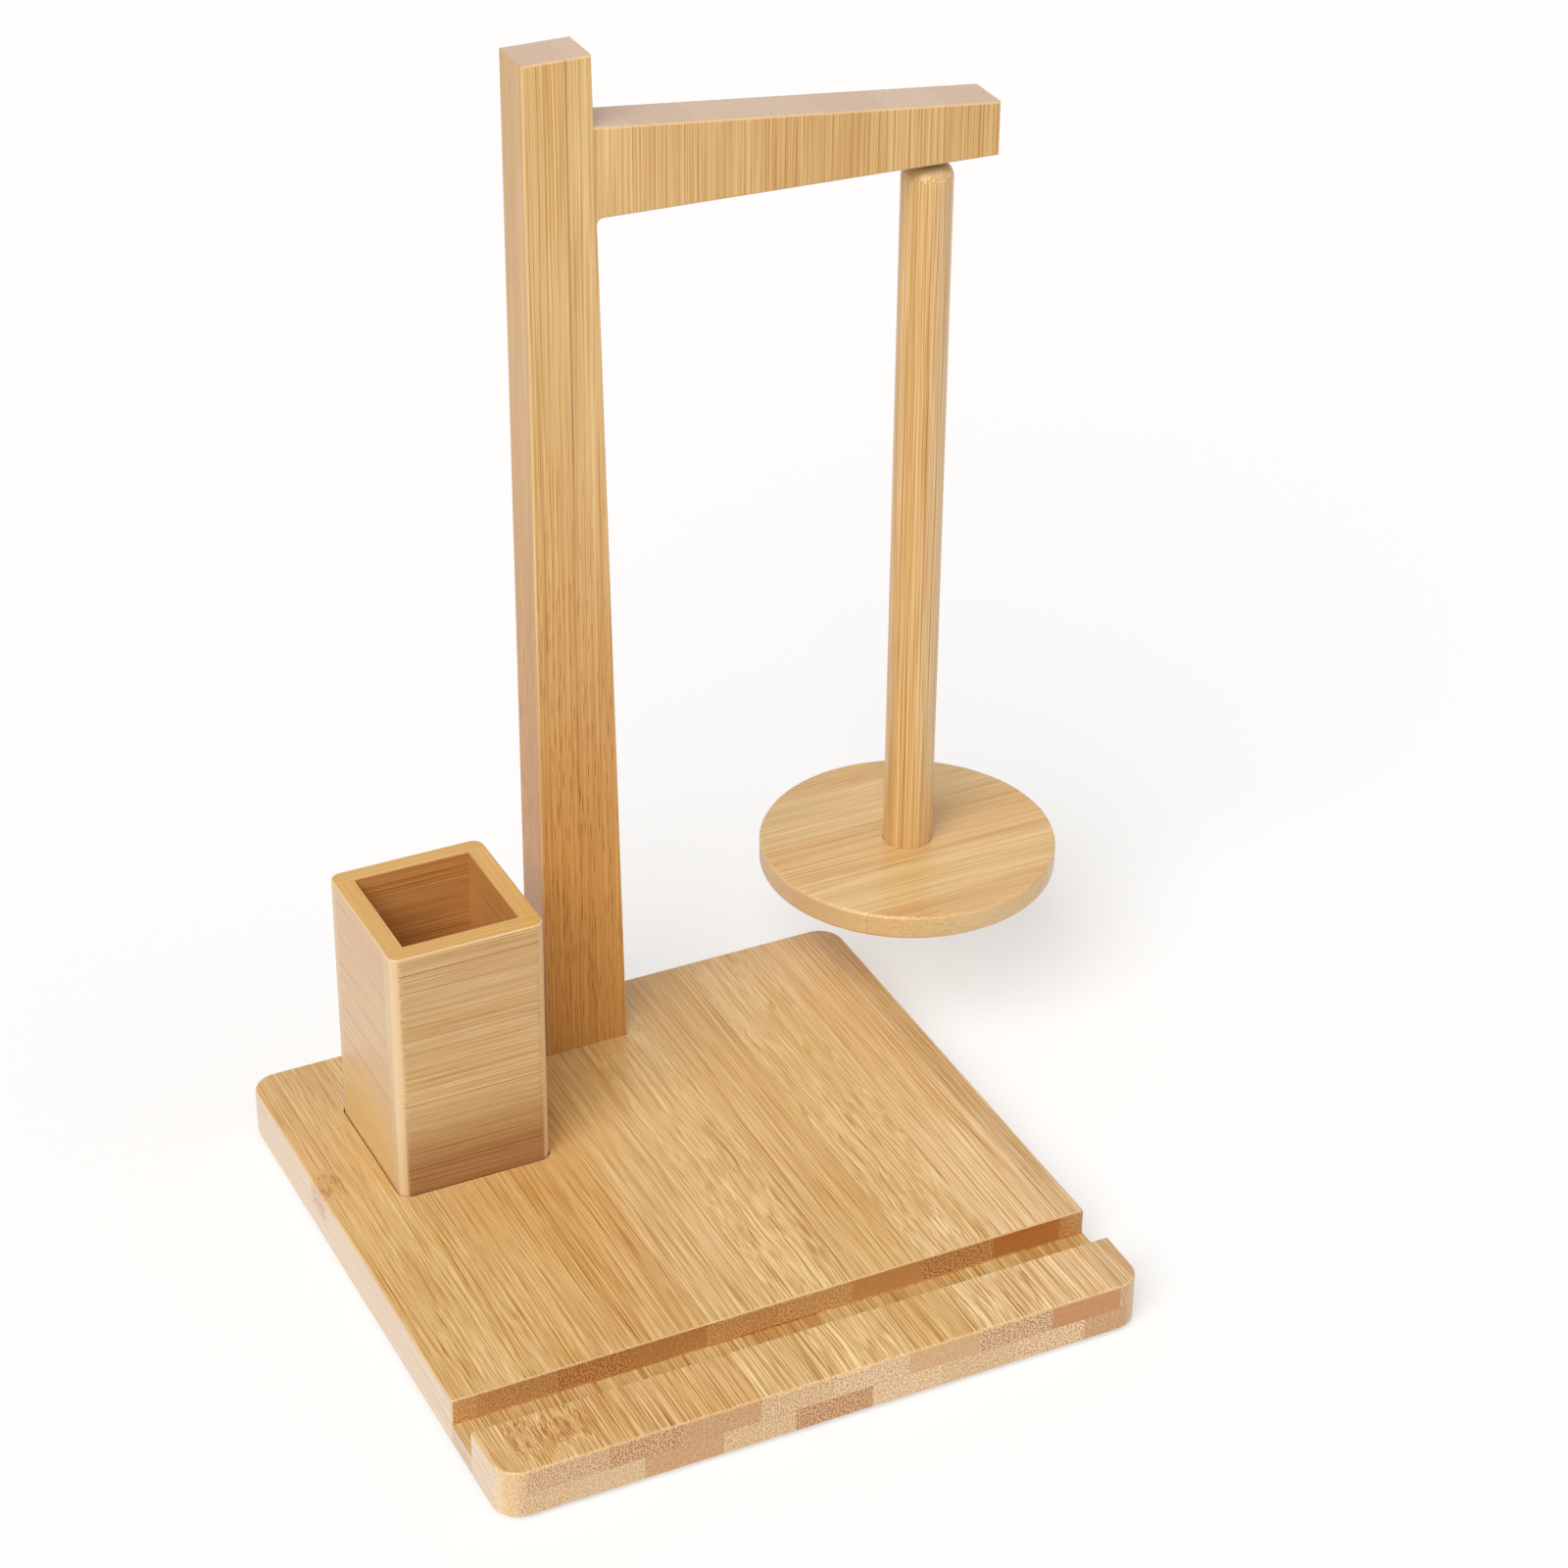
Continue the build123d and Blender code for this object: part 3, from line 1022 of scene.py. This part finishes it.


# Broad strips in two layers, some of them wavy and two with a knuckle, clearest towards the front,
# with dotted ends in several tones, painted shade of a redder brown in the groove, and a painted
# highlight on the sanded rounded edges
board_lacquered = bamboo(
    "lacquered_bamboo_board",
    "XZY",
    split=9.3,
    flank=("#D5BEA4", 0.4),
    eased=("#DEBF8C", 0.4),
    fibres=((-100, 0.85), (20, 0.46)),
    fibre_length=35.0,
    groove=(-85.05, 7.0, "#FBE4BC", "#EFEEE2"),
    layers=(
        (
            -134.2,
            [
                Strip("#D5B07A", 0.2, 0.1, END_PALE, 0.6),
                Strip("#D3AD76", 0.4, 0.3, "#CEB288", 0.4),
                Strip(GOLD, 0.6, 0.3, END_TAN, 0.4),
                Strip(GOLD, 0.6, 0.4, END_PALE, 0.6),
                Strip(AMBER, 0.7, 0.6, END_TAN, 1.0),
                Strip(GOLD, 0.6, 0.3, END_LIGHT, 0.6),
                Strip(HONEY, 0.6, 0.3, END_PALE, 0.6),
                Strip(GOLD, 0.6, 0.4, END_LIGHT, 0.8),
                Strip(HONEY, 0.6, 0.4, END_TAN, 0.5),
            ],
        ),
        (
            -146.0,
            [
                Strip("#CDA669", 0.9, 0.8, END_PALE, 0.6, 0.3, 26),
                Strip("#CEA96D", 0.9, 1.0, END_SAND, 0.7, 0.5, -101),
                Strip("#CEA669", 1.0, 0.9, END_WARM, 1.0),
                Strip("#CA9F5F", 1.0, 0.6, END_TAN, 0.5),
                Strip("#CFAA6F", 1.0, 0.6, END_PALE, 0.7),
                Strip("#D2AE71", 0.7, 1.0, END_LIGHT, 0.7, 1.0),
                Strip("#CCA465", 1.0, 0.4, END_WARM, 0.2),
                Strip(GOLD, 0.7, 1.0, END_SAND, 1.0, 1.0),
                Strip("#D6B27D", 1.0, 0.3, END_PLAIN, 0.2),
                Strip("#C6A371", 1.0, 0.3, "#C6A277", 0.6),
            ],
        ),
    ),
)
# Narrower strips: reddish and full of dashes at the post's foot, where they are also darkened with
# painted shade, straight and pale further up, with one open joint in the upper half, and a painted
# highlight on their sanded rounded edges
panel_lacquered = bamboo(
    "lacquered_bamboo_panel",
    "XYZ",
    split=66.95,
    pitch=19.52,
    flank=("#C3995F", 1.0),
    cut_tone="#C9AE97",
    eased=("#E6C998", 0.4),
    darker_end=(80.0, 264.0, "#F0D9B5"),
    fibres=((60, 0.38), (230, 0.48)),
    fibre_length=100.0,
    seam=(-30.6, 180.0, 215.0),
    layers=[
        (
            -50.5,
            [
                Strip("#CFA768", 0.5, 1.0, END_WARM, 0.2),
                Strip("#D0AA6E", 0.6, 1.0, END_LIGHT, 0.2),
                Strip("#CDA466", 1.0, 1.0, END_TAN, 0.2),
                Strip("#CDA465", 1.0, 1.0, END_PALE, 0.2),
                Strip("#C79D5F", 1.0, 1.0, END_LIGHT, 0.2),
                Strip("#C59B5B", 1.0, 1.0, END_TAN, 0.2),
                Strip("#CAA263", 0.3, 1.0, END_LIGHT, 0.2),
                Strip("#C69C5E", 1.0, 1.0, END_WARM, 0.2),
            ],
        )
    ]
    * 2,
)
# Strips that lie across the box, from dark brown at its foot, partly browner strips and partly
# painted shade, to pale ones, with a painted highlight on their sanded rounded edges and painted
# shade on the faces that look into the box
long_wall_lacquered = bamboo(
    "lacquered_bamboo_long_wall",
    "ZYX",
    flank=("#CD9F52", 0.8),
    cut_tone="#D0B58B",
    eased=("#DDC197", 0.75),
    inside=(BOX_MIDDLE, "#C88E4E"),
    strip_blend="LINEAR",
    fibres=((0, 0.4), (1, 0.4)),
    glue=0.6,
    layers=(
        (
            3.3,
            [
                # The two lowest strips are browner, and their darkness is partly painted shade
                Strip("#96693F", 0.6, 0.8, END_PALE, 0.1),
                Strip("#9C6F42", 0.7, 0.9, END_PALE, 0.1),
                Strip("#CBAC7C", 0.9, 0.9, END_PALE, 0.1),
                Strip("#C6A576", 1.0, 0.8, END_PALE, 0.1),
                Strip("#C4A172", 0.9, 0.5, END_PALE, 0.1),
            ],
        ),
    ),
)
# The same boards in quiet, even strips, with a painted highlight on their sanded rounded edges
# and painted shade on the faces that look into the box
side_wall_lacquered = bamboo(
    "lacquered_bamboo_side_wall",
    "ZXY",
    flank=("#CD9F52", 0.8),
    eased=("#DDC197", 0.75),
    inside=(BOX_MIDDLE, "#C88E4E"),
    strip_blend="LINEAR",
    fibres=((0, 0.3), (1, 0.3)),
    layers=(
        (
            3.3,
            [
                Strip("#D6B274", 0.3, 0.2),
                Strip("#D5B174", 0.3, 0.2),
                Strip("#CCA97E", 0.3, 0.2),
                Strip("#CCA97E", 0.3, 0.2),
                Strip("#C8A276", 0.3, 0.2),
            ],
        ),
    ),
)
# A turned rod: straight long lines from end to end
rod_lacquered = bamboo(
    "lacquered_bamboo_rod",
    "XYZ",
    cut_tone="#C8A87A",
    fibre_length=120.0,
    layers=(
        (
            60.0,
            [
                Strip("#CDA569", 1.0, 0.1, END_PALE, 0.2),
                Strip("#CEA973", 1.0, 0.1, END_PALE, 0.2),
            ],
        ),
    ),
)
# A disc of quiet strips with a slightly greyer sawn rim
tray_lacquered = bamboo(
    "lacquered_bamboo_tray",
    "YZX",
    flank=("#CCAD7B", 0.5),
    cut_tone="#CBAB7C",
    fibres=((0, 0.4), (1, 0.4)),
    layers=(
        (
            10.0,
            [
                Strip(HONEY, 0.3, 0.2, END_PALE, 0.1),
                Strip(GOLD, 0.3, 0.1, END_PALE, 0.1),
            ]
            * 3,
        ),
    ),
)

# How far the gloss of the plain finishes varies with their grain
GLOSS_SPREAD = 0.08


def plain_finish(name, tone, metallic, roughness, grain_mm):
    """A plain finish with fine cloudy grain in its tone and gloss. Metals keep the default IOR."""
    finish, tree = new_finish(name)
    place = add_node(tree, "ShaderNodeTexCoord")
    grain = add_node(
        tree,
        "ShaderNodeTexNoise",
        inputs={"Vector": place.outputs["Object"], "Scale": MM_PER_M / grain_mm, "Detail": 3.0},
    )
    tint = add_node(tree, "ShaderNodeValToRGB", inputs={0: grain.outputs["Fac"]})
    tint.color_ramp.elements[0].position = 0.3
    tint.color_ramp.elements[0].color = linear("#D8D8D8")
    tint.color_ramp.elements[1].position = 0.7
    tint.color_ramp.elements[1].color = linear("#FFFFFF")
    colour = add_node(
        tree,
        "ShaderNodeMix",
        {"data_type": "RGBA", "blend_type": "MULTIPLY"},
        {"Factor": 1.0, "A": linear(tone), "B": tint.outputs["Color"]},
    )
    gloss = add_node(
        tree,
        "ShaderNodeMapRange",
        inputs={
            "Value": grain.outputs["Fac"],
            "To Min": roughness - GLOSS_SPREAD,
            "To Max": roughness + GLOSS_SPREAD,
        },
    )
    shader = add_node(
        tree,
        "ShaderNodeBsdfPrincipled",
        inputs={
            "Base Color": colour.outputs["Result"],
            "Metallic": metallic,
            "Roughness": gloss.outputs[0],
        },
    )
    add_node(tree, "ShaderNodeOutputMaterial", inputs={"Surface": shader.outputs[0]})
    return finish


# Cold-formed steel, zinc plated: pale bluish metal with a soft shine
zinc_plated_steel = plain_finish("zinc_plated_steel", "#C9CBCD", 1.0, 0.3, 0.3)
# A sintered magnet, nickel plated: a warmer metal that mirrors more clearly
nickel_plate = plain_finish("nickel_plate", "#D8D4CC", 1.0, 0.18, 0.5)
# Steel, oxidised black: a dark satin pin
blackened_steel = plain_finish("blackened_steel", "#3A3836", 1.0, 0.38, 0.3)
# Brass, turned: yellow metal with a fine shine
turned_brass = plain_finish("turned_brass", "#D8B068", 1.0, 0.25, 0.3)
# Rubber, moulded: matt and nearly black
moulded_rubber = plain_finish("moulded_rubber", "#2A2A2A", 0.0, 0.7, 0.4)

finishes = {
    "base_board": board_lacquered,
    "stand_bracket": panel_lacquered,
    "box_front_wall": long_wall_lacquered,
    "box_rear_wall": long_wall_lacquered,
    "box_left_wall": side_wall_lacquered,
    "box_right_wall": side_wall_lacquered,
    "box_floor": side_wall_lacquered,
    "spindle_rod": rod_lacquered,
    "tray_disc": tray_lacquered,
    "post_screws": zinc_plated_steel,
    "tray_screw": zinc_plated_steel,
    "magnet_cup": zinc_plated_steel,
    "magnet_disc": nickel_plate,
    "pivot_pin": blackened_steel,
    "pivot_bush": turned_brass,
    "foot_pad_front_left": moulded_rubber,
    "foot_pad_front_right": moulded_rubber,
    "foot_pad_rear_left": moulded_rubber,
    "foot_pad_rear_right": moulded_rubber,
}
for node_name, finish in finishes.items():
    for material_slot in nodes[node_name].material_slots:
        material_slot.material = finish
